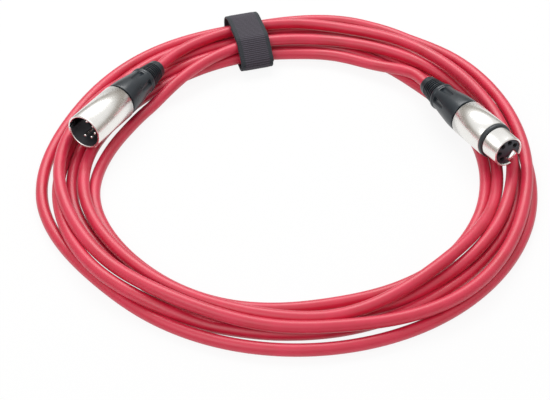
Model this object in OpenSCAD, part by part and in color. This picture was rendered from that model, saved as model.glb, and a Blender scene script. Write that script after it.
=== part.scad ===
// Coil of control cable with a 5-pin male plug, a 5-pin female plug and a hook-and-loop tie.
// Millimetres, +Z up, standing on z = 0.
// Each plug is drawn along its own +Z: 0 is the cable end of its boot, +X is its latch side.

/* [Cable] */
// Outer diameter of the cable jacket
cable_d = 6; // [5.6:0.1:6]
// Distance kept between the centres of strands that cross or lie on each other
strand_pitch = 6.65; // [6.5:0.05:6.8]
// Height that a strand loses over one station on each side of a crossing
hump_fall = 1.6; // [1.2:0.1:1.8]
// Rise of the bundle where it lies on the strap
tie_rise = 2.7; // [2.6:0.1:3.2]

/* [Tie] */
// Width of the strap
tie_w = 18; // [14:1:20]
// Thickness of one layer of the strap
tie_t = 1.4; // [1:0.1:1.4]

/* [Plugs] */
// Outer diameter of both shells
shell_d = 19; // [19:0.1:19.4]
// Length of the male plug, from the boot's end to its face
male_len = 68; // [66:0.5:70]
// Length of the female plug, from the boot's end to its mouth
female_len = 72.5; // [71:0.5:74]
// Diameter of the female plug's nose
nose_d = 16; // [15.8:0.1:16]
// Length of the ribbed part of the boot
boot_len = 13.5; // [12:0.5:14]
// Number of grip recesses round the bushing
recesses = 6; // [6:1:8]
// Diameter of the circle that the contacts stand on
contact_circle_d = 9.5; // [9.3:0.1:9.6]
// Diameter of a contact pin
pin_d = 1.75; // [1.6:0.05:1.8]

/* [Hidden] */
$fn = 64;

cable_red = [0.78, 0.16, 0.26];
strap_black = [0.19, 0.2, 0.23];
rubber_black = [0.16, 0.19, 0.22];
plastic_black = [0.13, 0.15, 0.17];
nickel = [0.82, 0.81, 0.77];
silver = [0.86, 0.86, 0.84];
gold = [0.83, 0.68, 0.35];
nylon_white = [0.88, 0.87, 0.82];
spring_steel = [0.6, 0.61, 0.62];

// Place of the coil's centre in the part's frame
coil_centre = [-0.4, 0.1, 0];

// ---- Cable -------------------------------------------------------------------------------

// The cable runs clockwise from the male plug through six turns to the female plug. A station
// stands every 15 degrees and a knot at every second station, the first one under the tie.
station_angle = 15;
stations_per_turn = 360 / station_angle;
tie_angle = 102;
flat_cut = cable_d / 10;
floor_z = cable_d / 2 - flat_cut;
tube_sides = 6;
straight_end = 9;

// Radius of the strand at each knot, one row a turn
lay = [
    [106.5, 110.0, 111.9, 113.2, 111.3, 109.0, 102.5, 101.2, 103.0, 105.8, 103.5, 97.0],
    [94.9, 98.5, 95.2, 96.2, 98.3, 97.7, 94.2, 93.7, 96.0, 94.9, 86.8, 84.0],
    [91.7, 98.0, 109.0, 109.4, 111.8, 115.2, 110.5, 110.6, 113.8, 114.2, 112.5, 111.9],
    [108.3, 116.3, 117.3, 119.5, 122.8, 122.6, 120.6, 119.0, 120.8, 121.6, 119.2, 118.6],
    [115.1, 124.2, 124.2, 121.0, 120.0, 119.5, 110.5, 107.5, 108.7, 111.0, 109.3, 104.4],
    [101.6, 105.3, 101.9, 102.8, 104.2, 102.6, 102.0, 100.0, 99.7, 100.4, 96.6, 90.4]
];
lead_in_r = 104.3;
lead_out = [88.2, 91.8, 92.4];

// Layer of the strand at each station: 0 lies on the floor, 1 lies on the strands under it
layers = str(
    "1",
    "111111111100000000000000",
    "000000000000000000000001",
    "111100000000000000000000",
    "000000000000000000000000",
    "000001111111111111111000",
    "000000001111111111100000",
    "0001"
);

knots = concat([for (turn = lay) each turn], lead_out);
stations = len(layers);
layer = [for (digit = layers) ord(digit) - ord("0")];

function knot(i) =
    i < 0 ? 2 * lead_in_r - knots[0]
    : i < len(knots) ? knots[i]
    : 2 * knots[len(knots) - 1] - knots[len(knots) - 2];

// Radius half-way between knots i and i + 1, on a smooth curve through their neighbours
function between(i) = (9 * (knot(i) + knot(i + 1)) - knot(i - 1) - knot(i + 2)) / 16;

radius = [
    lead_in_r,
    for (i = [0:stations - 2]) i % 2 == 0 ? knot(i / 2) : between((i - 1) / 2)
];

function bearing(i) = tie_angle + station_angle * (1 - i);
function inside(i) = i >= 0 && i < stations;

// Least sideways distance of stations i and j over the spans beside them, 0 where they cross
function sideways(i, j) =
    let (gap = radius[i] - radius[j])
    min(abs(gap), min([
        for (s = [-1, 1])
            if (inside(i + s) && inside(j + s))
                let (next = radius[i + s] - radius[j + s])
                gap * next < 0 ? 0 : abs(gap + next) / 2
    ]));

// Height that a strand at i needs above one at j, so that their jackets only touch
function climb(i, j) =
    let (aside = sideways(i, j))
    aside < strand_pitch ? sqrt(strand_pitch * strand_pitch - aside * aside) : -strand_pitch;

// One pass lays every upper station on those under it, then lets it fall away smoothly
function settled(z, passes) =
    passes == 0 ? z
    : let (
        laid = [
            for (i = [0:stations - 1])
                max([
                    floor_z,
                    if (layer[i] > 0)
                        for (j = [i % stations_per_turn:stations_per_turn:stations - 1])
                            if (layer[j] < layer[i]) z[j] + climb(i, j)
                ])
        ]
    )
    settled([
        for (i = [0:stations - 1])
            max([for (s = [-3:3]) laid[max(0, min(stations - 1, i + s))] - hump_fall * s * s])
    ], passes - 1);

height = settled([for (i = [0:stations - 1]) floor_z], 4);

// The whole bundle rises over the strap and comes down 45 degrees to each side of it
function turned(angle) = (angle % 360 + 540) % 360 - 180;
function rise(angle) =
    let (away = min(45, abs(turned(angle - tie_angle))))
    tie_rise * pow(cos(2 * away), 2);

function strand(i) = [
    radius[i] * cos(bearing(i)),
    radius[i] * sin(bearing(i)),
    height[i] + rise(bearing(i))
];

// Where each plug's boot ends and where its face points, from the coil's centre
male_root = [-68.3, 67.3, 12.4];
male_aim = [-101.6, 8.2, 18.6];
female_root = [74.4, 55, 11.5];
female_aim = [108.6, -7.8, 20];
male_roll = 261;
female_roll = 37;

function unit(v) = v / norm(v);

cable_route = concat(
    [male_root, male_root - straight_end * unit(male_aim - male_root)],
    [for (i = [0:stations - 1]) strand(i)],
    [female_root - straight_end * unit(female_aim - female_root), female_root]
);

function heading(route, i) =
    i == 0 ? unit(route[1] - route[0])
    : i == len(route) - 1 ? unit(route[i] - route[i - 1])
    : unit(route[i + 1] - route[i - 1]);

function ring(centre, along, r, sides) =
    let (across = unit(cross(along, [0, 0, 1])), up = cross(across, along))
    [
        for (k = [0:sides - 1])
            let (turn = 360 * k / sides - 90)
            centre + r * (cos(turn) * across + sin(turn) * up)
    ];

// Closed tube of triangles along a route
module tube(route, r, sides) {
    last = (len(route) - 1) * sides;
    walls = [
        for (i = [0:len(route) - 2])
            for (k = [0:sides - 1])
                let (a = i * sides + k, b = i * sides + (k + 1) % sides)
                each [[a, b, b + sides], [a, b + sides, a + sides]]
    ];
    caps = [for (k = [1:sides - 2]) each [[0, k + 1, k], [last, last + k, last + k + 1]]];
    polyhedron(
        [for (i = [0:len(route) - 1]) each ring(route[i], heading(route, i), r, sides)],
        concat(walls, caps)
    );
}

// Least gap between the jackets of strands that pass each other, measured on points
gap_steps = 4;
function from_span(p, a, b) =
    let (ab = b - a, t = max(0, min(1, (p - a) * ab / (ab * ab))))
    norm(p - a - t * ab);
least_gap = min([
    for (i = [0:stations - stations_per_turn])
        for (s = [0:gap_steps - 1])
            let (p = strand(i) + (strand(i + 1) - strand(i)) * s / gap_steps)
            for (turn = [1:6])
                for (near = [-3:3])
                    let (j = i + turn * stations_per_turn + near)
                    if (j < stations - 1) from_span(p, strand(j), strand(j + 1))
]) - cable_d;
echo(least_gap = least_gap);

module cable_coil() {
    color(cable_red)
        translate(coil_centre)
            intersection() {
                tube(cable_route, cable_d / 2, tube_sides);
                translate([-150, -150, 0])
                    cube([300, 300, 50]);
            }
}

// ---- Tie ---------------------------------------------------------------------------------

tie_r = 104;
tie_turn = 105.7;
tie_room = 3.4;

// Centres of the strands at the corners of the bundle, [outwards from tie_r, up], in order
tie_corners = [[-17, 4.95], [11.3, 5.1], [8.5, 11.7], [-14.4, 11.7]];

// Outline at a distance r round those corners, arcs at the corners and straight between
function corner_arc(k, r, steps) =
    let (
        n = len(tie_corners),
        here = tie_corners[k],
        before = here - tie_corners[(k + n - 1) % n],
        after = tie_corners[(k + 1) % n] - here,
        from = atan2(-before[0], before[1]),
        to = atan2(-after[0], after[1]),
        sweep = (to - from + 720) % 360
    )
    [for (s = [0:steps]) here + r * [cos(from + sweep * s / steps), sin(from + sweep * s / steps)]];

function tie_outline(r, first, last) = [for (k = [first:last]) each corner_arc(k, r, 6)];

// The outer layer begins behind the bundle, crosses the top and ends low on the inner side
function outer_layer(r) = concat(
    tie_outline(r, 2, 3),
    [for (s = [0:2]) corner_arc(0, r, 6)[s]]
);
function reversed(list) = [for (i = [len(list) - 1:-1:0]) list[i]];

module tie_strap() {
    inner = tie_room;
    outer = inner + tie_t;
    color(strap_black)
        translate(coil_centre)
            translate([tie_r * cos(tie_angle), tie_r * sin(tie_angle), 0])
                rotate([0, 0, tie_turn])
                    rotate([90, 0, 0])
                        linear_extrude(tie_w, center = true) {
                            difference() {
                                polygon(tie_outline(outer, 0, 3));
                                polygon(tie_outline(inner, 0, 3));
                            }
                            polygon(concat(
                                outer_layer(outer - 0.1),
                                reversed(outer_layer(outer + tie_t))
                            ));
                        }
}

// ---- Plugs: what both share ----------------------------------------------------------------

shell_r = shell_d / 2;
collar_z = 37.3;
collar_gap = 1;
thread_end = collar_z + 4;
shoulder_z = 46;
seat_z = 47.5;
part_gap = 0.3;
contact_r = contact_circle_d / 2;
contact_angles = [80, 130, 180, 230, 280];
cup_z = 44;
cable_end_z = 34;
boot_bore_r = cable_d / 2 + part_gap;
sleeve_r = 5;

module at_plug(root, aim, roll) {
    along = aim - root;
    translate(coil_centre + root)
        rotate([0, 0, atan2(along[1], along[0])])
            rotate([0, acos(along[2] / norm(along)), 0])
                rotate([0, 0, roll])
                    children();
}

module at_male() {
    at_plug(male_root, male_aim, male_roll)
        children();
}

module at_female() {
    at_plug(female_root, female_aim, female_roll)
        children();
}

module at_contact(n) {
    rotate([0, 0, contact_angles[n - 1]])
        translate([contact_r, 0, 0])
            children();
}

// Sleeve with a smooth domed end, six fine grooves by the bushing, and a root inside it
boot_tip_r = 4.75;
boot_root_r = 6.7;
dome_w = 1.3;
dome_len = 2.4;
grooves = 6;
groove_pitch = 1.5;
groove_start = 4.6;
groove_w = 0.6;
groove_depth = 0.6;

function boot_r(z) = boot_tip_r + (boot_root_r - boot_tip_r) * z / boot_len;

module boot() {
    rotate_extrude()
        polygon(concat(
            [[boot_bore_r, 0]],
            [
                for (a = [0:15:90])
                    [boot_r(dome_len) - dome_w * (1 - sin(a)), dome_len * (1 - cos(a))]
            ],
            [
                for (n = [0:grooves - 1])
                    let (z = groove_start + n * groove_pitch)
                    each [
                        [boot_r(z), z],
                        [boot_r(z) - groove_depth, z + 0.1],
                        [boot_r(z) - groove_depth, z + groove_w - 0.1],
                        [boot_r(z), z + groove_w]
                    ]
            ],
            [
                [boot_root_r, boot_len],
                [sleeve_r, boot_len],
                [sleeve_r, boot_len + 6.5],
                [boot_bore_r, boot_len + 6.5]
            ]
        ));
}

// Collar: a step ring at the boot, a full swell to the shell, and a threaded neck. The grip
// recesses start wide at the ring, narrow towards the shell and end in a step half-way.
bushing_waist_r = 7.05;
bushing_edge_r = 9.3;
bushing_ring = 0.3;
waist_z = boot_len + 2.5;
swell_len = collar_z - collar_gap - 1 - waist_z;
neck_r = 7.8;
chuck_room_r = 6.95;
recess_z = boot_len + 2.6;
recess_len = 9.8;
recess_r = 2.4;
recess_end_r = 0.9;
recess_axis_r = 8.8;
recess_turn = 34;

function bushing_r(t) = bushing_waist_r + (bushing_edge_r - bushing_waist_r) * sin(90 * t);

module bushing() {
    edge_z = collar_z - collar_gap;
    difference() {
        rotate_extrude()
            polygon(concat(
                [
                    [sleeve_r + 0.05, boot_len],
                    [bushing_waist_r, boot_len],
                    [bushing_waist_r + bushing_ring, boot_len + 0.4],
                    [bushing_waist_r + bushing_ring, boot_len + 1.7],
                    [bushing_waist_r, boot_len + 2]
                ],
                [for (s = [0:8]) [bushing_r(s / 8), waist_z + swell_len * s / 8]],
                [
                    [bushing_edge_r, edge_z - 0.3],
                    [bushing_edge_r - 0.3, edge_z],
                    [neck_r, edge_z],
                    [neck_r, thread_end],
                    [chuck_room_r, thread_end],
                    [chuck_room_r, 31],
                    [sleeve_r + 0.05, 23]
                ]
            ));
        for (k = [0:recesses - 1])
            rotate([0, 0, recess_turn + 360 * k / recesses])
                translate([recess_axis_r, 0, recess_z])
                    cylinder(r1 = recess_r, r2 = recess_end_r, h = recess_len);
    }
}

// Split collet: fingers round the cable, a cone that the bushing closes, and a front rim
module chuck() {
    difference() {
        rotate_extrude()
            polygon([
                [cable_d / 2 + 0.05, 24],
                [4.5, 24],
                [6.6, 31.5],
                [6.6, shoulder_z - part_gap],
                [5.9, shoulder_z - part_gap],
                [5.9, 40],
                [cable_d / 2 + 0.05, 33]
            ]);
        for (k = [0:3])
            rotate([0, 0, 45 + 90 * k])
                translate([0, -0.5, 23])
                    cube([8, 1, 11]);
    }
}

module cable_end() {
    cylinder(d = cable_d, h = cable_end_z);
}

// Five cores that leave the jacket in a ring, spread, and end in the solder cups
core_r = 0.6;
core_ring_r = 1.65;

module cores() {
    spread_z = cable_end_z + 1;
    meet_z = cup_z - 0.5;
    lean = atan2(contact_r - core_ring_r, meet_z - spread_z);
    for (turn = contact_angles)
        rotate([0, 0, turn]) {
            translate([core_ring_r, 0, cable_end_z])
                cylinder(r = core_r, h = 1);
            translate([core_ring_r, 0, spread_z]) {
                sphere(r = core_r + 0.03);
                rotate([0, lean, 0])
                    cylinder(r = core_r, h = norm([contact_r - core_ring_r, meet_z - spread_z]));
            }
            translate([contact_r, 0, meet_z]) {
                sphere(r = core_r + 0.03);
                cylinder(r = core_r, h = 2);
            }
        }
}

// Spring strip between an insert and its shell, with a dimple that presses on the wall
module ground_clip(wall_r, len) {
    translate([-wall_r + 0.15, -1.2, seat_z])
        cube([0.45, 2.4, len]);
}

module clip_notch(wall_r, len) {
    translate([-wall_r - 1, -1.4, seat_z - 1])
        cube([1.65, 2.8, len + 1]);
}

// ---- Male plug -----------------------------------------------------------------------------

male_bore_r = 8.2;
male_insert_z = 55;
pin_hole_r = pin_d / 2 + 0.05;

module male_shell() {
    color(nickel)
        at_male()
            difference() {
                rotate_extrude()
                    polygon([
                        [neck_r + 0.35, collar_z],
                        [shell_r - 0.3, collar_z],
                        [shell_r, collar_z + 0.3],
                        [shell_r, male_len - 0.4],
                        [shell_r - 0.3, male_len],
                        [male_bore_r + 0.3, male_len],
                        [male_bore_r, male_len - 0.3],
                        [male_bore_r, seat_z],
                        [6.6, seat_z],
                        [6.6, shoulder_z],
                        [neck_r + 0.35, shoulder_z]
                    ]);
                translate([0, -2.8, male_insert_z + 1.5])
                    cube([male_bore_r + 0.7, 5.6, 5]);
                translate([0, -1.6, male_insert_z + 6])
                    cube([male_bore_r + 0.35, 3.2, male_len]);
            }
}

module male_insert() {
    color(plastic_black)
        at_male()
            difference() {
                translate([0, 0, seat_z])
                    cylinder(r = male_bore_r - 0.05, h = male_insert_z - seat_z);
                for (n = [1:5])
                    at_contact(n)
                        translate([0, 0, seat_z - 1])
                            cylinder(r = pin_hole_r, h = 10);
                clip_notch(male_bore_r, 6);
            }
}

module male_pin(n) {
    tip_z = male_len - 2.6;
    color(silver)
        at_male()
            at_contact(n)
                difference() {
                    union() {
                        translate([0, 0, cup_z])
                            cylinder(r = 0.95, h = seat_z - cup_z);
                        translate([0, 0, seat_z - 0.6])
                            cylinder(r = 1.25, h = 0.6);
                        translate([0, 0, seat_z - 0.1])
                            cylinder(d = pin_d, h = tip_z - pin_d / 2 - seat_z + 0.1);
                        translate([0, 0, tip_z - pin_d / 2])
                            sphere(d = pin_d);
                    }
                    translate([0, 0, cup_z - 1])
                        cylinder(r = core_r + 0.05, h = 3.2);
                }
}

module male_ground_clip() {
    color(spring_steel)
        at_male()
            ground_clip(male_bore_r, 5.5);
}

module male_wires() {
    color(gold)
        at_male()
            cores();
}

module male_cable_end() {
    color(cable_red)
        at_male()
            cable_end();
}

module male_chuck() {
    color(nylon_white)
        at_male()
            chuck();
}

module male_bushing() {
    color(plastic_black)
        at_male()
            bushing();
}

module male_boot() {
    color(rubber_black)
        at_male()
            boot();
}

// ---- Female plug ---------------------------------------------------------------------------

nose_r = nose_d / 2;
nose_bore_r = 7;
nose_z = 59.6;
ring_len = 2.4;
insert_face_z = female_len - 0.8;
socket_bore_r = pin_d / 2 + 0.05;
channel_x = 2.4;
channel_half_w = 2.8;
lever_half_w = 2.4;
lever_x = 4;
lever_t = 1.2;
pivot = [4.6, 0, 51];
pivot_r = 0.6;
pad_z = [53.2, 58.6];
hook_z = female_len - 4.8;

module female_shell() {
    color(nickel)
        at_female()
            difference() {
                rotate_extrude()
                    polygon([
                        [neck_r + 0.35, collar_z],
                        [shell_r - 0.3, collar_z],
                        [shell_r, collar_z + 0.3],
                        [shell_r, nose_z - 0.4],
                        [shell_r - 0.4, nose_z],
                        [nose_r, nose_z],
                        [nose_r, female_len - 0.5],
                        [nose_r - 0.4, female_len],
                        [nose_bore_r + 0.2, female_len],
                        [nose_bore_r, female_len - 0.2],
                        [nose_bore_r, seat_z],
                        [6.6, seat_z],
                        [6.6, shoulder_z],
                        [neck_r + 0.35, shoulder_z]
                    ]);
                translate([6, -channel_half_w, pad_z[0] - 0.5])
                    cube([5, 2 * channel_half_w, pad_z[1] - pad_z[0] + 0.9]);
                translate([6, -channel_half_w, hook_z - 1])
                    cube([5, 2 * channel_half_w, 10]);
            }
}

module female_insert() {
    color(plastic_black)
        at_female()
            difference() {
                translate([0, 0, seat_z])
                    cylinder(r = nose_bore_r - 0.05, h = insert_face_z - seat_z);
                for (n = [1:5])
                    at_contact(n)
                        translate([0, 0, seat_z - 1])
                            cylinder(r = 1.35, h = 30);
                translate([channel_x, -channel_half_w, pivot[2] - 2])
                    cube([6, 2 * channel_half_w, 30]);
                translate(pivot)
                    rotate([90, 0, 0])
                        cylinder(r = pivot_r + 0.02, h = 20, center = true);
                clip_notch(nose_bore_r, 6);
            }
}

module female_socket(n) {
    color(silver)
        at_female()
            at_contact(n)
                difference() {
                    union() {
                        translate([0, 0, cup_z])
                            cylinder(r = 0.95, h = 4);
                        translate([0, 0, seat_z - 0.6])
                            cylinder(r = 1.6, h = 0.6);
                        translate([0, 0, seat_z - 0.1])
                            cylinder(r = 1.3, h = insert_face_z - 0.3 - seat_z + 0.1);
                    }
                    translate([0, 0, cup_z - 1])
                        cylinder(r = core_r + 0.05, h = 3.2);
                    translate([0, 0, insert_face_z - 14])
                        cylinder(r = socket_bore_r, h = 20);
                }
}

module female_ring() {
    color(rubber_black)
        at_female()
            rotate_extrude()
                polygon([
                    [nose_r, nose_z],
                    [shell_r - 0.4, nose_z],
                    [shell_r - 0.2, nose_z + 0.3],
                    [shell_r - 0.2, nose_z + ring_len - 0.7],
                    [shell_r - 0.5, nose_z + ring_len - 0.2],
                    [shell_r - 0.9, nose_z + ring_len],
                    [nose_r, nose_z + ring_len]
                ]);
}

// Lever with an eye at the rear, a thumb pad through the shell and a hook at the mouth
module female_latch() {
    top_x = lever_x + lever_t;
    color(silver)
        at_female()
            difference() {
                union() {
                    translate([lever_x, -lever_half_w, pivot[2]])
                        cube([lever_t, 2 * lever_half_w, insert_face_z - pivot[2]]);
                    translate(pivot)
                        rotate([90, 0, 0])
                            cylinder(r = 1.25, h = 2 * lever_half_w, center = true);
                    rotate([90, 0, 0])
                        linear_extrude(2 * lever_half_w, center = true)
                            polygon([
                                [top_x - 0.1, hook_z],
                                [nose_r + 0.4, hook_z],
                                [nose_r + 0.4, hook_z + 1.2],
                                [top_x + 0.6, insert_face_z],
                                [top_x - 0.1, insert_face_z]
                            ]);
                    rotate([90, 0, 0])
                        linear_extrude(2 * lever_half_w - 0.2, center = true)
                            polygon(concat(
                                [[top_x - 0.1, pad_z[0]], [shell_r + 0.2, pad_z[0]]],
                                [
                                    for (s = [0:3])
                                        let (z = pad_z[0] + 0.6 + 1.1 * s)
                                        each [[shell_r + 0.8, z], [shell_r + 0.5, z + 0.7]]
                                ],
                                [[shell_r + 0.2, pad_z[1]], [top_x - 0.1, pad_z[1]]]
                            ));
                }
                translate(pivot)
                    rotate([90, 0, 0])
                        cylinder(r = pivot_r + 0.05, h = 20, center = true);
            }
}

module female_latch_pin() {
    color(spring_steel)
        at_female()
            translate(pivot)
                rotate([90, 0, 0])
                    cylinder(r = pivot_r, h = 8.4, center = true);
}

// Small coil spring that stands on the channel's floor and lifts the lever
module female_latch_spring() {
    curls = 3;
    curl_steps = 8;
    wire_r = 0.16;
    coil_r = 1.2;
    spring_z = pad_z[0] + 3;
    rise_x = lever_x - channel_x - 2 * wire_r - 0.1;
    steps = curls * curl_steps;
    color(spring_steel)
        at_female()
            tube([
                for (s = [0:steps])
                    let (a = 360 * s / curl_steps)
                    [
                        channel_x + wire_r + 0.05 + rise_x * s / steps,
                        coil_r * cos(a),
                        spring_z + coil_r * sin(a)
                    ]
            ], wire_r, tube_sides);
}

module female_ground_clip() {
    color(spring_steel)
        at_female()
            ground_clip(nose_bore_r, 5.5);
}

module female_wires() {
    color(gold)
        at_female()
            cores();
}

module female_cable_end() {
    color(cable_red)
        at_female()
            cable_end();
}

module female_chuck() {
    color(nylon_white)
        at_female()
            chuck();
}

module female_bushing() {
    color(plastic_black)
        at_female()
            bushing();
}

module female_boot() {
    color(rubber_black)
        at_female()
            boot();
}

cable_coil();
tie_strap();
male_shell();
male_insert();
male_pin(1);  // male_pin_1
male_pin(2);  // male_pin_2
male_pin(3);  // male_pin_3
male_pin(4);  // male_pin_4
male_pin(5);  // male_pin_5
male_ground_clip();
male_wires();
male_cable_end();
male_chuck();
male_bushing();
male_boot();
female_shell();
female_insert();
female_socket(1);  // female_socket_1
female_socket(2);  // female_socket_2
female_socket(3);  // female_socket_3
female_socket(4);  // female_socket_4
female_socket(5);  // female_socket_5
female_ring();
female_latch();
female_latch_pin();
female_latch_spring();
female_ground_clip();
female_wires();
female_cable_end();
female_chuck();
female_bushing();
female_boot();
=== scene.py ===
import math

import bpy
import bmesh
import numpy as np
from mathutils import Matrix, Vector


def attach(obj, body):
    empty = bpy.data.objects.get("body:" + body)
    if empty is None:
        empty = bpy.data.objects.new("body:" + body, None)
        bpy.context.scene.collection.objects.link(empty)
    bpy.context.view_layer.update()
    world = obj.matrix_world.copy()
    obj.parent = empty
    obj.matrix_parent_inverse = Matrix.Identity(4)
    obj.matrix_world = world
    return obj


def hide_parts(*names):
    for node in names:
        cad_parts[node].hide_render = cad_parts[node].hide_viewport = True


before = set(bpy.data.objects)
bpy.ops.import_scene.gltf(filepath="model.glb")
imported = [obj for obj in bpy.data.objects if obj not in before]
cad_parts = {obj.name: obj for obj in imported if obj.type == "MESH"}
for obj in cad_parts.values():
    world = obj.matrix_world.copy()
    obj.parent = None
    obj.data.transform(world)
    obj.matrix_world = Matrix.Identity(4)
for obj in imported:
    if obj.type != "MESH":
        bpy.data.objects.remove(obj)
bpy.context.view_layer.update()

MM = 0.001

# ---- Driving sizes: lengths in millimetres, angles in degrees ------------------------------

COIL_CENTRE = np.array([-0.4, 0.1, 0.0])

# Cable, and the stations along it at which its place and height are set
CABLE_D = 6.0
FLOOR_Z = CABLE_D / 2
STRAND_PITCH = 6.1
HUMP_FALL = 1.6
TIE_RISE = 1.6
TIE_ANGLE = 102.0
STATION_ANGLE = 15
STATIONS_PER_TURN = 360 // STATION_ANGLE
STRAIGHT_END = 9.0
POINT_SPACING = 3.2

# Settling: strands nearer than NEAR_STRANDS are kept apart, unless they are within OWN_SPAN
# points of each other along the cable. Moves are smoothed and fade out at the cable's ends.
NEAR_STRANDS = 10.0
OWN_SPAN = 40
SETTLING_ROUNDS = 80
SMOOTHING_REACH = 4
SMOOTHING_SPREAD = 2.0
HELD_POINTS = 6.0
LAYERING_ROUNDS = 4
HUMP_STEPS = 3
TIE_RISE_REACH = 45

# Radius of the strand at each knot, 30 degrees apart, one row a turn from the tie round again
LAY = [
    [107.0, 111.5, 110.4, 113.2, 110.6, 107.5, 102.5, 104.2, 104.4, 107.9, 102.8, 97.2],
    [96.3, 99.2, 95.2, 98.8, 99.9, 98.3, 94.5, 97.3, 97.6, 97.1, 87.0, 84.6],
    [92.2, 98.4, 106.6, 113.6, 114.6, 110.9, 110.5, 111.2, 116.6, 114.2, 109.8, 110.5],
    [108.6, 115.0, 114.4, 119.5, 123.0, 122.6, 120.4, 118.4, 117.2, 122.6, 117.8, 117.2],
    [114.8, 125.0, 122.8, 120.2, 119.5, 121.4, 112.8, 109.8, 111.2, 113.2, 110.0, 104.4],
    [102.5, 105.3, 102.9, 105.2, 105.2, 103.8, 106.6, 103.1, 101.6, 101.9, 96.6, 90.4],
]
LEAD_IN_R = 104.3
LEAD_OUT = [89.0, 91.4, 92.2]

# Layer of the strand at each station: 0 lies on the floor, 1 lies on the strands under it
LAYERS = (
    "1"
    "111111111100000000000000"
    "000000000000000000000001"
    "111100000000000011000000"
    "000000000000000000000000"
    "000001111111111111111000"
    "000000001111111111100000"
    "0001"
)

CABLE_SIDES = 20

# Strap: room round the strands' centres, corners of the bundle [outwards, up] and the standing loop
TIE_R = 104.0
TIE_TURN = 105.7
TIE_W = 18.0
TIE_T = 1.2
TIE_ROOM = 3.1
TIE_LAYER_GAP = 0.35
TIE_CORNERS = [(-19.3, 4.6), (10.9, 4.6), (-11.3, 10.7)]
TIE_LOOP = [(14.9, 8.0), (13.6, 11.6), (10.2, 14.2), (6.0, 15.5), (2.0, 15.75)]
TIE_START = 0.0
TIE_END_ANGLE = 160.0
TIE_STEP = 0.36
SELVEDGE = 2.3
LOOP_PITCH = 1.1
LOOP_HEIGHT = 0.24
LOOP_EDGE = 0.4
LOOP_MEAN = 0.55
LOOP_SWING = 0.45
TIE_END_DIP = 0.2
TIE_ARC_STEPS = 8
TIE_LAST_STEPS = 4
TIE_EDGE_STEPS = 7
TIE_BOTTOM_POINTS = 3

# Plugs, measured along each plug's own Z from the cable end of its boot
BOOT_LEN = 13.5
BOOT_TIP_R = 4.75
BOOT_ROOT_R = 6.7
BOOT_BORE_R = 3.3
DOME_W = 1.3
DOME_LEN = 2.4
DOME_STEPS = 10
BOOT_STEP = 0.08
GROOVES = 6
GROOVE_FLAT = 1.25
GROOVE_SLOPE = 2.6
SLEEVE_LEN = 6.5
GROOVE_START = 4.9
GROOVE_PITCH = 1.5
GROOVE_W = 0.72
GROOVE_DEPTH = 0.8
SLEEVE_R = 5.0
WAIST_R = 7.0
EDGE_R = 9.2
SWELL_DELAY = 1.3
RING_STEP = 0.3
RING_END = 2.0
RING_SLOPE = 0.1
RING_CHAMFER = 0.2
WAIST_Z = 16.0
SWELL_LEN = 19.0
EDGE_Z = 36.3
EDGE_ROUND = 0.5
EDGE_STEPS = 6
SWELL_POINTS = 118
SWELL_SPARE = 3
ROOM_Z = 31.0
BORE_Z = 23.0
BORE_ROOM = 0.05
NECK_R = 7.8
THREAD_END = 41.3
CHUCK_ROOM_R = 6.95
RECESSES = 6
RECESS_Z = 16.1
RECESS_LEN = 9.8
RECESS_R = 2.7
RECESS_END_R = 0.9
RECESS_AXIS_R = 8.5
RECESS_TURN = 34.0
RECESS_FADE = 0.35
RECESS_BLEND = 0.05
LEAST_WALL = 0.9
NO_CUT = 99.0
ROUND_COLUMNS = 96
BUSHING_COLUMNS = 288
MALE_LEN = 68.0
MALE_BORE_R = 8.2
BORE_REACH = 0.8
RIM_LEN = 0.4
INWARD_LIMIT = 0.3

MALE = {"root": (-68.3, 67.3, 12.4), "aim": (-101.6, 8.2, 18.6), "roll": 261.0}
FEMALE = {"root": (74.4, 55.0, 11.5), "aim": (108.6, -7.8, 20.0), "roll": 37.0}


def unit(v):
    """The vector with length 1."""
    return v / np.linalg.norm(v)


# ---- Camera --------------------------------------------------------------------------------

CAMERA_LENS = 91.19
CAMERA_ELEVATION = 44.097
CAMERA_DISTANCE = 688.6
LOOK_AT = COIL_CENTRE + np.array([-5.823, -21.173, 0.0])


def make_camera():
    """Camera on the -Y side, looking down at LOOK_AT from CAMERA_DISTANCE."""
    data = bpy.data.cameras.new("camera")
    data.lens = CAMERA_LENS
    data.sensor_width = 36.0
    data.clip_start = 0.01
    data.clip_end = 50.0
    camera = bpy.data.objects.new("camera", data)
    bpy.context.scene.collection.objects.link(camera)
    tilt = math.radians(CAMERA_ELEVATION)
    back = np.array([0.0, -math.cos(tilt), math.sin(tilt)])
    camera.location = (LOOK_AT + back * CAMERA_DISTANCE) * MM
    camera.rotation_euler = (math.radians(90 - CAMERA_ELEVATION), 0.0, 0.0)
    bpy.context.scene.camera = camera


make_camera()

# ---- Mesh helpers --------------------------------------------------------------------------

# Distances in metres under which vertices are joined, in new surfaces and in CAD meshes
POLE_DOUBLES = 2e-7
CAD_DOUBLES = 1e-6


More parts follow.
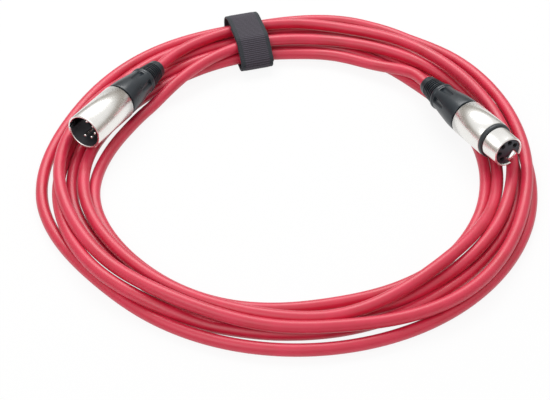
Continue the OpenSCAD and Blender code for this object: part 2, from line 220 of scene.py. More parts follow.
def grid_mesh(name, points, material, wrap_u=False, wrap_v=False, sharp=40.0, uv=None):
    """Mesh from a grid of points, [rows, columns, 3] in metres. wrap_u joins the last column to
    the first and wrap_v the last row to the first. Doubles are merged, which closes poles, and
    the normals are turned outward."""
    rows, columns = points.shape[:2]
    r = np.arange(rows if wrap_v else rows - 1)
    c = np.arange(columns if wrap_u else columns - 1)
    rr, cc = np.meshgrid(r, c, indexing="ij")
    r2, c2 = (rr + 1) % rows, (cc + 1) % columns
    quads = np.stack([rr * columns + cc, rr * columns + c2, r2 * columns + c2, r2 * columns + cc], -1)
    quads = quads.reshape(-1, 4)
    mesh = bpy.data.meshes.new(name)
    mesh.from_pydata(points.reshape(-1, 3), [], quads)
    if uv is not None:
        layer = mesh.uv_layers.new(name="UVMap")
        corner_r = np.stack([rr, rr, rr + 1, rr + 1], -1).reshape(-1)
        corner_c = np.stack([cc, cc + 1, cc + 1, cc], -1).reshape(-1)
        layer.uv.foreach_set("vector", uv(corner_r, corner_c).astype(np.float32).ravel())
    work = bmesh.new()
    work.from_mesh(mesh)
    bmesh.ops.remove_doubles(work, verts=work.verts, dist=POLE_DOUBLES)
    bmesh.ops.recalc_face_normals(work, faces=work.faces)
    work.to_mesh(mesh)
    work.free()
    mesh.polygons.foreach_set("use_smooth", np.ones(len(mesh.polygons), bool))
    mesh.set_sharp_from_angle(angle=math.radians(sharp))
    mesh.update()
    piece = bpy.data.objects.new(name, mesh)
    bpy.context.scene.collection.objects.link(piece)
    if material is not None:
        mesh.materials.append(material)
    return piece


# ---- Cable ---------------------------------------------------------------------------------


def knot(i):
    """Radius at a knot of the chart, carried on in a straight line past both ends."""
    knots = sum(LAY, []) + LEAD_OUT
    if i < 0:
        return 2 * LEAD_IN_R - knots[0]
    if i < len(knots):
        return knots[i]
    return 2 * knots[-1] - knots[-2]


def station_radii():
    """Radius at each station: the knots, and half-way values on a cubic through four knots."""
    radii = [LEAD_IN_R]
    for i in range(len(LAYERS) - 1):
        k = i // 2
        between = (9 * (knot(k) + knot(k + 1)) - knot(k - 1) - knot(k + 2)) / 16
        radii.append(between if i % 2 else knot(k))
    return np.array(radii)


def settled_heights(radii):
    """Height of each station: strands of layer 1 lie on the strands of layer 0 under them, at
    STRAND_PITCH from centre to centre, and fall away on both sides by HUMP_FALL * steps ** 2."""
    count = len(radii)
    layer = np.array([int(digit) for digit in LAYERS])
    height = np.full(count, FLOOR_Z)

    def sideways(i, j):
        gap = radii[i] - radii[j]
        least = abs(gap)
        for s in (-1, 1):
            if 0 <= i + s < count and 0 <= j + s < count:
                near = radii[i + s] - radii[j + s]
                least = 0.0 if gap * near < 0 else min(least, abs(gap + near) / 2)
        return least

    for _ in range(LAYERING_ROUNDS):
        laid = np.full(count, FLOOR_Z)
        for i in np.flatnonzero(layer > 0):
            for j in range(i % STATIONS_PER_TURN, count, STATIONS_PER_TURN):
                aside = sideways(i, j)
                if layer[j] < layer[i] and aside < STRAND_PITCH:
                    laid[i] = max(laid[i], height[j] + math.sqrt(STRAND_PITCH**2 - aside**2))
        steps = np.arange(-HUMP_STEPS, HUMP_STEPS + 1)
        around = np.clip(np.arange(count)[:, None] + steps, 0, count - 1)
        height = (laid[around] - HUMP_FALL * steps**2).max(1)
    return height


def smooth_path(points, spacing):
    """Natural cubic spline through the points, sampled about every spacing."""
    points = np.asarray(points, float)
    at = np.concatenate([[0], np.cumsum(np.linalg.norm(np.diff(points, axis=0), axis=1))])
    h = np.diff(at)
    n = len(points)
    system = np.eye(n)
    right = np.zeros((n, 3))
    i = np.arange(1, n - 1)
    system[i, i - 1] = h[:-1]
    system[i, i] = 2 * (h[:-1] + h[1:])
    system[i, i + 1] = h[1:]
    slope = np.diff(points, axis=0) / h[:, None]
    right[1:-1] = 6 * np.diff(slope, axis=0)
    bend = np.linalg.solve(system, right)
    t = np.linspace(0, at[-1], int(at[-1] / spacing) + 1)
    k = np.clip(np.searchsorted(at, t) - 1, 0, n - 2)
    a, b, hk = (at[k + 1] - t)[:, None], (t - at[k])[:, None], h[k][:, None]
    return (
        (bend[k] * a**3 + bend[k + 1] * b**3) / (6 * hk)
        + (points[k] / hk - bend[k] * hk / 6) * a
        + (points[k + 1] / hk - bend[k + 1] * hk / 6) * b
    )


def moved_apart(path):
    """The path with strands that cut into each other or the floor moved apart. Each point is
    pushed away from the points of other turns nearer than CABLE_D, by half of what is missing,
    and the moves are smoothed along the path, so that the cable keeps its curve."""
    count = len(path)
    index = np.arange(count)
    far = np.linalg.norm(path[:, None] - path, axis=2)
    here, there = np.nonzero((far < NEAR_STRANDS) & (np.abs(index[:, None] - index) > OWN_SPAN))
    spread = np.linspace(-SMOOTHING_SPREAD, SMOOTHING_SPREAD, 2 * SMOOTHING_REACH + 1)
    weights = np.exp(-(spread**2))
    weights /= weights.sum()
    moves = np.zeros_like(path)
    held = np.clip(np.minimum(index, count - 1 - index) / HELD_POINTS, 0, 1)[:, None]
    for _ in range(SETTLING_ROUNDS):
        now = path + moves
        apart = now[here] - now[there]
        distance = np.linalg.norm(apart, axis=1)[:, None] + 1e-9
        push = apart / distance * np.maximum(CABLE_D - distance, 0) / 2
        most, least = np.zeros_like(path), np.zeros_like(path)
        np.maximum.at(most, here, push)
        np.minimum.at(least, here, push)
        moves += (most + least) * held
        padded = np.pad(moves, ((SMOOTHING_REACH, SMOOTHING_REACH), (0, 0)), mode="edge")
        moves = sum(w * padded[k : k + count] for k, w in enumerate(weights)) * held
        moves[:, 2] = np.maximum(moves[:, 2], FLOOR_Z - path[:, 2])
    return path + moves


def cable_route():
    """Centreline of the cable from the male boot to the female boot, in metres."""
    radii = station_radii()
    bearing = TIE_ANGLE + STATION_ANGLE * (1.0 - np.arange(len(radii)))
    away = np.minimum(TIE_RISE_REACH, np.abs((bearing - TIE_ANGLE + 180) % 360 - 180))
    height = settled_heights(radii) + TIE_RISE * np.cos(np.radians(90 / TIE_RISE_REACH * away)) ** 2
    angle = np.radians(bearing)
    strands = np.stack([radii * np.cos(angle), radii * np.sin(angle), height], -1)
    ends = []
    for plug in (MALE, FEMALE):
        root, aim = np.array(plug["root"]), np.array(plug["aim"])
        along = unit(aim - root)
        ends.append([root, root - STRAIGHT_END / 2 * along, root - STRAIGHT_END * along])
    route = np.vstack([ends[0], strands, ends[1][::-1]])
    path = smooth_path(route, POINT_SPACING)
    path[:, 2] = np.maximum(path[:, 2], FLOOR_Z)
    return (moved_apart(path) + COIL_CENTRE) * MM


def sweep(path, radius, sides):
    """Rings of a round tube along the path: each ring is square to the path's direction."""
    along = np.gradient(path, axis=0)
    along /= np.linalg.norm(along, axis=1)[:, None]
    across = np.cross(along, [0, 0, 1.0])
    across /= np.linalg.norm(across, axis=1)[:, None]
    up = np.cross(across, along)
    turn = np.linspace(0, 2 * math.pi, sides, endpoint=False)
    return path[:, None] + radius * (
        np.cos(turn)[None, :, None] * across[:, None] + np.sin(turn)[None, :, None] * up[:, None]
    )


def capped(rings, path):
    """The rings with the path's two ends as poles, which closes the tube."""
    first = np.repeat(path[:1, None], rings.shape[1], 1)
    last = np.repeat(path[-1:, None], rings.shape[1], 1)
    return np.concatenate([first, rings, last])


# ---- Materials -----------------------------------------------------------------------------

RED_DARK = (0.56, 0.005, 0.034)
RED_LIGHT = (0.66, 0.010, 0.056)
WEAVE_DARK = (0.004, 0.003, 0.006)
WEAVE_LIGHT = (0.1, 0.082, 0.115)
SELVEDGE_BLACK = (0.014, 0.018, 0.024)
# Bands in one unit of length that a wave texture shows at scale 1, nearly
WAVE_BANDS = 3.14
ROW_SHARE = 0.35
FIBRE_SHARE = 0.8

def new_material(name):
    """New material with its nodes, its links and its Principled shader."""
    material = bpy.data.materials.new(name)
    material.use_nodes = True
    nodes = material.node_tree.nodes
    return material, nodes, material.node_tree.links, nodes["Principled BSDF"]


def noise(nodes, links, coords, scale, detail=3.0):
    """Noise texture on the given coordinates, with scale in waves per metre."""
    texture = nodes.new("ShaderNodeTexNoise")
    texture.inputs["Scale"].default_value = scale
    texture.inputs["Detail"].default_value = detail
    links.new(coords, texture.inputs["Vector"])
    return texture.outputs["Fac"]


def colour_between(nodes, links, factor, dark, light, low=0.3, high=0.7):
    """Colour that runs from dark to light as the factor runs from low to high."""
    ramp = nodes.new("ShaderNodeValToRGB")
    ramp.color_ramp.elements[0].position = low
    ramp.color_ramp.elements[0].color = (*dark, 1)
    ramp.color_ramp.elements[1].position = high
    ramp.color_ramp.elements[1].color = (*light, 1)
    links.new(factor, ramp.inputs["Fac"])
    return ramp.outputs["Color"]


def number_between(nodes, links, factor, low, high):
    """Number that runs from low to high as the factor runs from 0.3 to 0.7."""
    run = nodes.new("ShaderNodeMapRange")
    run.inputs["From Min"].default_value = 0.3
    run.inputs["From Max"].default_value = 0.7
    run.inputs["To Min"].default_value = low
    run.inputs["To Max"].default_value = high
    links.new(factor, run.inputs["Value"])
    return run.outputs["Result"]


def bump(nodes, links, shader, height, strength, depth):
    """Bump on the shader's normal, with depth in metres."""
    node = nodes.new("ShaderNodeBump")
    node.inputs["Strength"].default_value = strength
    node.inputs["Distance"].default_value = depth
    links.new(height, node.inputs["Height"])
    links.new(node.outputs["Normal"], shader.inputs["Normal"])


def moulded(name, dark, light, roughness, mottle=120.0, grain=2500.0, depth=0.00002, sheen=0.0):
    """Moulded plastic or rubber: slight mottling, uneven gloss and the mould's fine grain."""
    material, nodes, links, shader = new_material(name)
    coords = nodes.new("ShaderNodeTexCoord").outputs["Object"]
    patches = noise(nodes, links, coords, mottle)
    links.new(colour_between(nodes, links, patches, dark, light), shader.inputs["Base Color"])
    gloss = number_between(nodes, links, patches, roughness - 0.04, roughness + 0.05)
    links.new(gloss, shader.inputs["Roughness"])
    bump(nodes, links, shader, noise(nodes, links, coords, grain, 2.0), 0.5, depth)
    if sheen:
        shader.inputs["Sheen Weight"].default_value = sheen
        shader.inputs["Sheen Roughness"].default_value = 0.45
        shader.inputs["Sheen Tint"].default_value = (0.75, 0.9, 0.92, 1)
    return material


def plated(name, dark, light, roughness, metallic=1.0, mottle=200.0, grain=3500.0, depth=0.000006):
    """Plated or drawn metal: slight clouding of the colour and the gloss, and fine blasting."""
    material, nodes, links, shader = new_material(name)
    coords = nodes.new("ShaderNodeTexCoord").outputs["Object"]
    clouds = noise(nodes, links, coords, mottle)
    links.new(colour_between(nodes, links, clouds, dark, light), shader.inputs["Base Color"])
    gloss = number_between(nodes, links, clouds, roughness - 0.01, roughness + 0.015)
    links.new(gloss, shader.inputs["Roughness"])
    shader.inputs["Metallic"].default_value = metallic
    bump(nodes, links, shader, noise(nodes, links, coords, grain, 2.0), 0.15, depth)
    return material


def jacket_material():
    """Satin red PVC: faint mottling, shallow waves from drawing, fine grain and a dusty bloom."""
    material, nodes, links, shader = new_material("jacket")
    coords = nodes.new("ShaderNodeTexCoord").outputs["Object"]
    mottle = noise(nodes, links, coords, 90.0, 4.0)
    colour = colour_between(nodes, links, mottle, RED_DARK, RED_LIGHT)
    links.new(colour, shader.inputs["Base Color"])
    links.new(number_between(nodes, links, mottle, 0.4, 0.5), shader.inputs["Roughness"])
    shader.inputs["Specular IOR Level"].default_value = 0.7
    shader.inputs["Coat Weight"].default_value = 0.25
    shader.inputs["Coat Roughness"].default_value = 0.42
    shader.inputs["Sheen Weight"].default_value = 0.12
    shader.inputs["Sheen Roughness"].default_value = 0.4
    shader.inputs["Sheen Tint"].default_value = (1.0, 0.8, 0.85, 1)
    bump(nodes, links, shader, noise(nodes, links, coords, 1400.0, 3.0), 0.35, 0.00003)
    return material


def weave_material():
    """Black woven strap: rows of small loops between plain selvedges, on UV in millimetres."""
    material, nodes, links, shader = new_material("weave")
    coords = nodes.new("ShaderNodeTexCoord").outputs["UV"]
    split = nodes.new("ShaderNodeSeparateXYZ")
    links.new(coords, split.inputs[0])
    rows = nodes.new("ShaderNodeTexWave")
    rows.wave_type = "BANDS"
    rows.bands_direction = "Y"
    rows.inputs["Scale"].default_value = 1.0 / LOOP_PITCH / WAVE_BANDS
    rows.inputs["Distortion"].default_value = 1.2
    rows.inputs["Detail"].default_value = 2.0
    rows.inputs["Detail Scale"].default_value = 2.0
    links.new(coords, rows.inputs["Vector"])
    fibre = noise(nodes, links, coords, 3.0, 5.0)
    both = nodes.new("ShaderNodeMath")
    both.operation = "MULTIPLY_ADD"
    both.inputs[1].default_value = ROW_SHARE
    links.new(rows.outputs["Fac"], both.inputs[0])
    share = nodes.new("ShaderNodeMath")
    share.operation = "MULTIPLY"
    share.inputs[1].default_value = FIBRE_SHARE
    links.new(fibre, share.inputs[0])
    links.new(share.outputs[0], both.inputs[2])
    pile = both.outputs[0]
    colour = colour_between(nodes, links, pile, WEAVE_DARK, WEAVE_LIGHT, 0.36, 0.95)
    side = nodes.new("ShaderNodeMath")
    side.operation = "ABSOLUTE"
    links.new(split.outputs["X"], side.inputs[0])
    edge = nodes.new("ShaderNodeMapRange")
    edge.inputs["From Min"].default_value = TIE_W / 2 - SELVEDGE - 0.2
    edge.inputs["From Max"].default_value = TIE_W / 2 - SELVEDGE + 0.3
    links.new(side.outputs[0], edge.inputs["Value"])
    mix = nodes.new("ShaderNodeMix")
    mix.data_type = "RGBA"
    mix.inputs["B"].default_value = (*SELVEDGE_BLACK, 1)
    links.new(edge.outputs["Result"], mix.inputs["Factor"])
    links.new(colour, mix.inputs["A"])
    links.new(mix.outputs["Result"], shader.inputs["Base Color"])
    shader.inputs["Roughness"].default_value = 0.72
    shader.inputs["Sheen Weight"].default_value = 0.12
    shader.inputs["Sheen Roughness"].default_value = 0.4
    shader.inputs["Sheen Tint"].default_value = (0.75, 0.85, 0.85, 1)
    bump(nodes, links, shader, pile, 0.8, 0.00025)
    return material


JACKET = jacket_material()
WEAVE = weave_material()
NICKEL = plated("nickel", (0.87, 0.858, 0.825), (0.9, 0.888, 0.858), 0.27)
# Painted shade: the male bore is nickel like the shell, and this dark finish stands in for the shade inside
# its mouth
BORE_PAINTED_SHADE = plated("bore_painted_shade", (0.035, 0.036, 0.042), (0.05, 0.05, 0.056), 0.38, metallic=0.5)
CONTACT = plated("contact_silver", (0.86, 0.85, 0.82), (0.93, 0.92, 0.9), 0.2)
# Painted shade: the socket contacts are metal, and this near-black finish stands in for the shade down in
# their holes
PAINTED_SOCKET_SHADE = plated("socket_painted_shade", (0.02, 0.02, 0.022), (0.035, 0.034, 0.034), 0.5, metallic=0.4)
SPRING = plated("spring_steel", (0.42, 0.43, 0.44), (0.5, 0.51, 0.52), 0.3)
LATCH = plated("latch_metal", (0.86, 0.86, 0.83), (0.92, 0.92, 0.9), 0.32)
INSERT = moulded("insert_plastic", (0.010, 0.014, 0.022), (0.016, 0.021, 0.031), 0.36)
BUSHING = moulded("bushing_plastic", (0.010, 0.015, 0.021), (0.015, 0.022, 0.029), 0.3, sheen=0.04)
BOOT = moulded("boot_rubber", (0.009, 0.013, 0.018), (0.014, 0.02, 0.027), 0.33, sheen=0.05)
RING = moulded("ring_rubber", (0.014, 0.018, 0.022), (0.022, 0.028, 0.032), 0.42, sheen=0.15)
NYLON = moulded("collet_nylon", (0.66, 0.64, 0.56), (0.74, 0.72, 0.64), 0.4)
CORES = moulded("core_insulation", (0.5, 0.36, 0.1), (0.6, 0.45, 0.16), 0.45)


# ---- Cable, made --------------------------------------------------------------------------


def make_cable():
    """Round tube along the cable's route, closed at both ends."""
    path = cable_route()
    rings = sweep(path, CABLE_D / 2 * MM, CABLE_SIDES)
    cable = grid_mesh("cable", capped(rings, path), JACKET, wrap_u=True, sharp=60.0)
    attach(cable, "cable")
    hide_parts("cable_coil")


make_cable()

# ---- Tie ----------------------------------------------------------------------------------


def arc(corner, radius, first, last, steps=TIE_ARC_STEPS):
    """Points round a corner at a radius, from one angle to another in degrees."""
    turn = np.radians(np.linspace(first, last, steps))
    return np.array(corner) + radius * np.stack([np.cos(turn), np.sin(turn)], -1)


def tie_path():
    """Middle line of the strap, [outwards, up], in the plane square to the bundle: its inner end
    on top, down the inner side, under the bundle, up the back, the loop that stands off there,
    then over the top again and down the inner side to the straight end."""
    inner = TIE_ROOM + TIE_T / 2
    outer = inner + TIE_T + TIE_LAYER_GAP
    low_in, low_out, high_in = TIE_CORNERS
    fall = np.array(low_in) - np.array(high_in)
    lean = math.degrees(math.atan2(-fall[0], fall[1])) % 360
    points = [
        [[TIE_START, high_in[1] + inner - TIE_END_DIP], [(TIE_START + high_in[0]) / 2, high_in[1] + inner]],
        arc(high_in, inner, 90, lean),
        arc(low_in, inner, lean, 270),
        np.linspace(low_in, low_out, TIE_BOTTOM_POINTS + 2)[1:-1] - [0, inner],
        arc(low_out, inner, 270, 360),
        TIE_LOOP,
        [[high_in[0] / 2, high_in[1] + outer]],
        arc(high_in, outer, 90, lean),
        arc(low_in, outer, lean, TIE_END_ANGLE, TIE_LAST_STEPS),
    ]
    flat = np.vstack(points)
    return smooth_path(np.stack([flat[:, 0], np.zeros(len(flat)), flat[:, 1]], -1), TIE_STEP)


def strap_section(count):
    """Section of the strap, [across, outwards from its middle], once round: the outer face, a
    half-round edge, the inner face and the other edge."""
    half = TIE_W / 2 - TIE_T / 2
    across = np.linspace(-half, half, count)
    turn = np.radians(np.linspace(90, -90, TIE_EDGE_STEPS))[1:-1]
    edge = np.stack([half + TIE_T / 2 * np.cos(turn), TIE_T / 2 * np.sin(turn)], -1)
    face = np.stack([across, np.full(count, TIE_T / 2)], -1)
    return np.vstack([face, edge, -face, -edge])


def make_tie():
    """Hook-and-loop strap: the section carried along the path, its loops standing in rows."""
    path = tie_path()
    steps = np.linalg.norm(np.diff(path, axis=0), axis=1)
    along = np.concatenate([[0], np.cumsum(steps)])
    heading = np.gradient(path, axis=0)
    heading /= np.linalg.norm(heading, axis=1)[:, None]
    normal = np.stack([heading[:, 2], np.zeros(len(path)), -heading[:, 0]], -1)
    normal *= -1 if (normal[0] @ [0, 0, 1]) < 0 else 1
    section = strap_section(int(TIE_W / TIE_STEP))
    across, off = section[:, 0], section[:, 1]
    pile = np.clip((TIE_W / 2 - SELVEDGE - np.abs(across)) / LOOP_EDGE, 0, 1) * np.sign(off)
    row = np.sin(math.pi * along / LOOP_PITCH) ** 2
    sideways = np.sin(2 * math.pi * across / LOOP_PITCH)
    lengthways = np.cos(math.pi * along / LOOP_PITCH)
    loop = LOOP_MEAN + LOOP_SWING * sideways[None, :] * lengthways[:, None]
    thick = off[None, :] + LOOP_HEIGHT * pile[None, :] * row[:, None] * loop
    out = np.array([math.cos(math.radians(TIE_TURN)), math.sin(math.radians(TIE_TURN)), 0])
    side = np.array([-out[1], out[0], 0])
    place = np.radians(TIE_ANGLE)
    origin = COIL_CENTRE + TIE_R * np.array([math.cos(place), math.sin(place), 0])
    local = path[:, None] + thick[..., None] * normal[:, None]
    points = origin + local[..., :1] * out + across[None, :, None] * side + local[..., 2:] * [0, 0, 1]
    first, last = points[:1].mean(1, keepdims=True), points[-1:].mean(1, keepdims=True)
    columns = points.shape[1]
    points = np.concatenate([np.repeat(first, columns, 1), points, np.repeat(last, columns, 1)])

    def in_millimetres(row_index, column):
        spots = np.concatenate([[0], along, [along[-1]]])
        return np.stack([across[column % columns], spots[row_index]], -1)

    tie = grid_mesh("tie", points * MM, WEAVE, wrap_u=True, sharp=50.0, uv=in_millimetres)
    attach(tie, "cable")
    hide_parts("tie_strap")


make_tie()

# ---- Plugs --------------------------------------------------------------------------------


def turn_z(angle):
    """Turn about Z by an angle in radians."""
    c, s = math.cos(angle), math.sin(angle)
    return np.array([[c, -s, 0], [s, c, 0], [0, 0, 1.0]])


def turn_y(angle):
    """Turn about Y by an angle in radians."""
    c, s = math.cos(angle), math.sin(angle)
    return np.array([[c, 0, s], [0, 1.0, 0], [-s, 0, c]])


def plug_frame(plug):
    """Turn of a plug, whose columns are its own X, Y and Z, and the place of its cable end."""
    root, aim = np.array(plug["root"]), np.array(plug["aim"])
    along = unit(aim - root)
    turn = turn_z(math.atan2(along[1], along[0])) @ turn_y(math.acos(along[2]))
    return turn @ turn_z(math.radians(plug["roll"])), COIL_CENTRE + root


def round_grid(plug, radii, heights):
    """Points of a turned piece: radii, [rows, columns], at heights, [rows], about the plug's Z."""
    turn, place = plug_frame(plug)
    columns = radii.shape[1]
    angle = np.linspace(0, 2 * math.pi, columns, endpoint=False)
    height = np.repeat(heights[:, None], columns, 1)
    local = np.stack([radii * np.cos(angle), radii * np.sin(angle), height], -1)
    return (local @ turn.T + place) * MM


def boot_r(z):
    """Radius of the boot's cone at a height."""
    return BOOT_TIP_R + (BOOT_ROOT_R - BOOT_TIP_R) * z / BOOT_LEN


def boot_profile():
    """Closed outline of the boot, [radius, height]: domed end, a plain third, then six grooves
    whose depth is a rounded dip, the root in the bushing, and the bore."""
    dome = np.radians(np.linspace(0, 90, DOME_STEPS))
    end = np.stack([boot_r(DOME_LEN) - DOME_W * (1 - np.sin(dome)), DOME_LEN * (1 - np.cos(dome))], -1)
    z = np.arange(DOME_LEN + 0.1, BOOT_LEN, BOOT_STEP)
    number = np.clip(np.round((z - GROOVE_START) / GROOVE_PITCH), 0, GROOVES - 1)
    nearest = GROOVE_START + GROOVE_PITCH * number
    dip = np.clip(GROOVE_FLAT - np.abs((z - nearest) / GROOVE_W) ** 2 * GROOVE_SLOPE, 0, 1)
    wall = np.stack([boot_r(z) - GROOVE_DEPTH * dip, z], -1)
    root = [
        [BOOT_ROOT_R, BOOT_LEN],
        [SLEEVE_R, BOOT_LEN],
        [SLEEVE_R, BOOT_LEN + SLEEVE_LEN],
        [BOOT_BORE_R, BOOT_LEN + SLEEVE_LEN],
        [BOOT_BORE_R, 0.0],
    ]
    return np.vstack([end, wall, root])


def make_boot(name, plug, body, node):
    """Boot: its closed outline turned about the plug's Z."""
    profile = boot_profile()
    radii = np.repeat(profile[:, :1], ROUND_COLUMNS, 1)
    points = round_grid(plug, radii, profile[:, 1])
    boot = grid_mesh(name, points, BOOT, wrap_u=True, wrap_v=True, sharp=50.0)
    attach(boot, body)
    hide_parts(node)


def bushing_wall():
    """Outside of the bushing, [radius, height]: the step ring, a swell that is the sine of a
    quarter turn times the share of its length ** SWELL_DELAY, and a rounded edge at the shell."""
    ring = [
        [WAIST_R, BOOT_LEN],
        [WAIST_R + RING_STEP - RING_SLOPE, BOOT_LEN + 0.1],
        [WAIST_R + RING_STEP, BOOT_LEN + 0.3],
        [WAIST_R + RING_STEP, BOOT_LEN + RING_END - 2 * RING_CHAMFER],
        [WAIST_R + RING_STEP - RING_SLOPE, BOOT_LEN + RING_END - RING_CHAMFER],
        [WAIST_R, BOOT_LEN + RING_END],
    ]
    t = np.linspace(0, 1, SWELL_POINTS)
    rise = np.sin(math.pi / 2 * t**SWELL_DELAY)
    swell = np.stack([WAIST_R + (EDGE_R - WAIST_R) * rise, WAIST_Z + SWELL_LEN * t], -1)
    edge = arc([EDGE_R - EDGE_ROUND, EDGE_Z - EDGE_ROUND], EDGE_ROUND, 0, 90, EDGE_STEPS)
    return np.vstack([ring, swell[:-SWELL_SPARE], edge])


def recess_radii(radii, heights):
    """Radii of the wall with the grip recesses cut in: each is a cone beside the wall, wide at
    the ring and narrow towards the shell, and the cut's rim is rounded by a smooth minimum."""
    columns = np.linspace(0, 360, BUSHING_COLUMNS, endpoint=False)
    step = 360 / RECESSES
    off = np.radians((columns - RECESS_TURN + step / 2) % step - step / 2)[None, :]
    t = (heights - RECESS_Z) / RECESS_LEN
    cone = (RECESS_R + (RECESS_END_R - RECESS_R) * t)[:, None]
    ends = np.clip(np.minimum(t, 1 - t) * RECESS_LEN / RECESS_FADE, 0, 1)[:, None]
    under = cone**2 - (RECESS_AXIS_R * np.sin(off)) ** 2
    floor = RECESS_AXIS_R * np.cos(off) - np.sqrt(np.maximum(under, 0))
    cut = np.where((under > 0) & (ends > 0), floor, NO_CUT)
    plain = np.repeat(radii[:, None], BUSHING_COLUMNS, 1)
    low = np.minimum(plain, cut)
    near = np.exp((low - plain) / RECESS_BLEND) + np.exp((low - cut) / RECESS_BLEND)
    eased = np.maximum(low - RECESS_BLEND * np.log(near), SLEEVE_R + LEAST_WALL)
    return plain + (eased - plain) * ends**2 * (3 - 2 * ends)


def make_bushing(name, plug, body, node):
    """Bushing: the recessed wall, the neck that screws into the shell, and the bore."""
    wall = bushing_wall()
    inside = np.array(
        [[NECK_R, EDGE_Z], [NECK_R, THREAD_END], [CHUCK_ROOM_R, THREAD_END], [CHUCK_ROOM_R, ROOM_Z]]
        + [[SLEEVE_R + BORE_ROOM, BORE_Z], [SLEEVE_R + BORE_ROOM, BOOT_LEN]]
    )
    radii = recess_radii(wall[:, 0], wall[:, 1])
    radii = np.vstack([radii, np.repeat(inside[:, :1], BUSHING_COLUMNS, 1)])
    points = round_grid(plug, radii, np.concatenate([wall[:, 1], inside[:, 1]]))
    bushing = grid_mesh(name, points, BUSHING, wrap_u=True, wrap_v=True, sharp=28.0)
    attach(bushing, body)
    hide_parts(node)


def merged_copy(node, body, material, sharp=32.0):
    """Copy of a CAD node with its loose triangles joined and its round faces shaded smooth."""
    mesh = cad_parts[node].data.copy()
    work = bmesh.new()
    work.from_mesh(mesh)
    bmesh.ops.remove_doubles(work, verts=work.verts, dist=CAD_DOUBLES)
    bmesh.ops.dissolve_degenerate(work, edges=work.edges, dist=CAD_DOUBLES)
    work.to_mesh(mesh)
    work.free()
    mesh.polygons.foreach_set("use_smooth", np.ones(len(mesh.polygons), bool))
    mesh.set_sharp_from_angle(angle=math.radians(sharp))
    mesh.materials.clear()
    mesh.materials.append(material)
    piece = bpy.data.objects.new(node + "_finished", mesh)
    bpy.context.scene.collection.objects.link(piece)
    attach(piece, body)
    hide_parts(node)
    return piece


def paint_shade_in_bore(piece, plug, radius, material):
    """Paints the faces inside a plug's mouth dark, as painted shade: the bore is the shell's nickel, drawn
    dark for the shade that falls inside it.
    """
    turn, place = plug_frame(plug)
    faces = piece.data.polygons
    centres, normals = np.empty(len(faces) * 3), np.empty(len(faces) * 3)
    faces.foreach_get("center", centres)
    faces.foreach_get("normal", normals)
    local = (centres.reshape(-1, 3) / MM - place) @ turn
    facing = normals.reshape(-1, 3) @ turn
    out = unit_rows(local[:, :2])
    inward = (facing[:, :2] * out).sum(1) < INWARD_LIMIT
    within = np.hypot(local[:, 0], local[:, 1]) < radius
    inside = within & inward & (local[:, 2] < MALE_LEN - RIM_LEN)
    piece.data.materials.append(material)
    faces.foreach_set("material_index", inside.astype(np.int32))


def unit_rows(v):
    """The rows with length 1, or 0 where a row is 0."""
    return v / (np.linalg.norm(v, axis=1)[:, None] + 1e-9)


def paint(node, material):
    """Gives a CAD node that stays as it is its finish."""
    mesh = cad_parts[node].data
    mesh.materials.clear()
    mesh.materials.append(material)


PLUGS = {"male": MALE, "female": FEMALE}
for kind, plug in PLUGS.items():
    make_boot(kind + "_boot_finished", plug, kind + "_collar", kind + "_boot")
    make_bushing(kind + "_bushing_finished", plug, kind + "_collar", kind + "_bushing")
    merged_copy(kind + "_insert", "cable", INSERT)
    paint(kind + "_ground_clip", SPRING)
    paint(kind + "_wires", CORES)
    paint(kind + "_cable_end", JACKET)
    paint(kind + "_chuck", NYLON)
    for number in range(1, 6):
        if kind == "male":
            merged_copy(f"male_pin_{number}", "cable", CONTACT)
        else:
            # The sockets get painted shade for the darkness in their holes
            paint(f"female_socket_{number}", PAINTED_SOCKET_SHADE)

male_shell = merged_copy("male_shell", "cable", NICKEL)
# Painted shade on the bore walls inside the male mouth
paint_shade_in_bore(male_shell, MALE, MALE_BORE_R + BORE_REACH, BORE_PAINTED_SHADE)
merged_copy("female_shell", "cable", NICKEL)
merged_copy("female_ring", "cable", RING)
merged_copy("female_latch", "latch", LATCH)
paint("female_latch_pin", SPRING)
paint("female_latch_spring", SPRING)

# ---- Stage: floor, light, background -------------------------------------------------------

FLOOR_HALF = 4.0
FLOOR_GREY = (0.8, 0.8, 0.8)
FLOOR_GLOW = 0.9
CAMERA_WHITE = 1.0


def shown_rays(nodes, links):
    """1 for rays from the camera and for reflected and refracted ones, 0 for diffuse light."""
    path = nodes.new("ShaderNodeLightPath")
    seen = path.outputs["Is Camera Ray"]
    for kind in ("Is Glossy Ray", "Is Transmission Ray"):
        most = nodes.new("ShaderNodeMath")
        most.operation = "MAXIMUM"
        links.new(seen, most.inputs[0])
        links.new(path.outputs[kind], most.inputs[1])
        seen = most.outputs[0]
    return seen


def make_stage():
    """Wide pale floor that shows nearly white and keeps a soft shadow under the object."""
    corners = FLOOR_HALF * np.array([[-1, -1, 0], [1, -1, 0], [1, 1, 0], [-1, 1, 0]])
    mesh = bpy.data.meshes.new("floor")
    mesh.from_pydata(corners, [], [(0, 1, 2, 3)])
    floor = bpy.data.objects.new("floor", mesh)
    bpy.context.scene.collection.objects.link(floor)
    material, nodes, links, shader = new_material("floor")
    shader.inputs["Base Color"].default_value = (*FLOOR_GREY, 1)
    shader.inputs["Roughness"].default_value = 0.9
    glow = nodes.new("ShaderNodeEmission")
    glow.inputs["Strength"].default_value = CAMERA_WHITE
    share = nodes.new("ShaderNodeMath")
    share.operation = "MULTIPLY"
    share.inputs[1].default_value = FLOOR_GLOW
    links.new(shown_rays(nodes, links), share.inputs[0])
    mix = nodes.new("ShaderNodeMixShader")
    links.new(share.outputs[0], mix.inputs["Fac"])
    links.new(shader.outputs[0], mix.inputs[1])
    links.new(glow.outputs[0], mix.inputs[2])
    links.new(mix.outputs[0], nodes["Material Output"].inputs["Surface"])
    mesh.materials.append(material)


# Height on the sky, then its red, green and blue
SKY = [
    (0.0, 0.30, 0.27, 0.24),
    (0.24, 0.34, 0.31, 0.28),
    (0.42, 0.8, 0.8, 0.79),
    (0.62, 0.92, 0.92, 0.92),
]
SKY_STRENGTH = 0.8


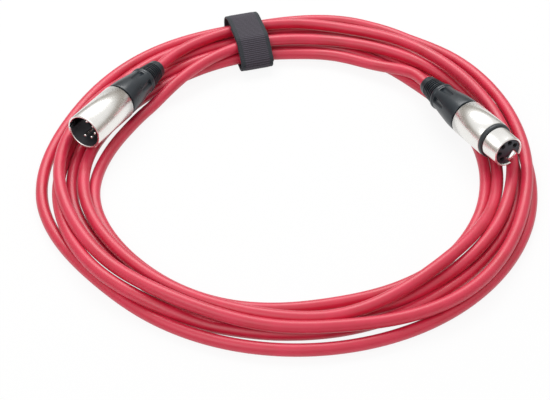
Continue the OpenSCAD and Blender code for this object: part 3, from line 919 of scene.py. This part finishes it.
def make_world():
    """White studio above a warm grey band along the horizon, which gives the metal its streak.
    The camera itself sees plain white."""
    world = bpy.data.worlds.new("world")
    bpy.context.scene.world = world
    world.use_nodes = True
    nodes, links = world.node_tree.nodes, world.node_tree.links
    background = nodes["Background"]
    coords = nodes.new("ShaderNodeTexCoord")
    split = nodes.new("ShaderNodeSeparateXYZ")
    links.new(coords.outputs["Generated"], split.inputs[0])
    ramp = nodes.new("ShaderNodeValToRGB")
    ramp.color_ramp.interpolation = "EASE"
    for place, *colour in SKY[1:-1]:
        ramp.color_ramp.elements.new(place)
    for element, (place, *colour) in zip(ramp.color_ramp.elements, SKY):
        element.position = place
        element.color = (*colour, 1)
    links.new(split.outputs["Z"], ramp.inputs["Fac"])
    links.new(ramp.outputs["Color"], background.inputs["Color"])
    path = nodes.new("ShaderNodeLightPath")
    strength = nodes.new("ShaderNodeMapRange")
    strength.inputs["To Min"].default_value = SKY_STRENGTH
    strength.inputs["To Max"].default_value = 1.0
    links.new(path.outputs["Is Glossy Ray"], strength.inputs["Value"])
    links.new(strength.outputs["Result"], background.inputs["Strength"])
    plain = nodes.new("ShaderNodeBackground")
    plain.inputs["Strength"].default_value = CAMERA_WHITE
    mix = nodes.new("ShaderNodeMixShader")
    links.new(path.outputs["Is Camera Ray"], mix.inputs["Fac"])
    links.new(background.outputs[0], mix.inputs[1])
    links.new(plain.outputs[0], mix.inputs[2])
    plain.inputs["Color"].default_value = (1, 1, 1, 1)
    links.new(mix.outputs[0], nodes["World Output"].inputs["Surface"])


def softbox(name, place, width, height, power):
    """Rectangular area light that faces the coil."""
    data = bpy.data.lights.new(name, "AREA")
    data.shape = "RECTANGLE"
    data.size = width
    data.size_y = height
    data.energy = power
    lamp = bpy.data.objects.new(name, data)
    bpy.context.scene.collection.objects.link(lamp)
    lamp.location = place
    lamp.rotation_euler = (-Vector(place)).to_track_quat("-Z", "Y").to_euler()


make_stage()
make_world()
softbox("back_softbox", (-0.1, 0.75, 0.95), 0.9, 0.5, 9.0)
softbox("front_softbox", (-0.5, -0.7, 0.9), 0.8, 0.6, 3.2)

bpy.context.scene.view_settings.view_transform = "Standard"
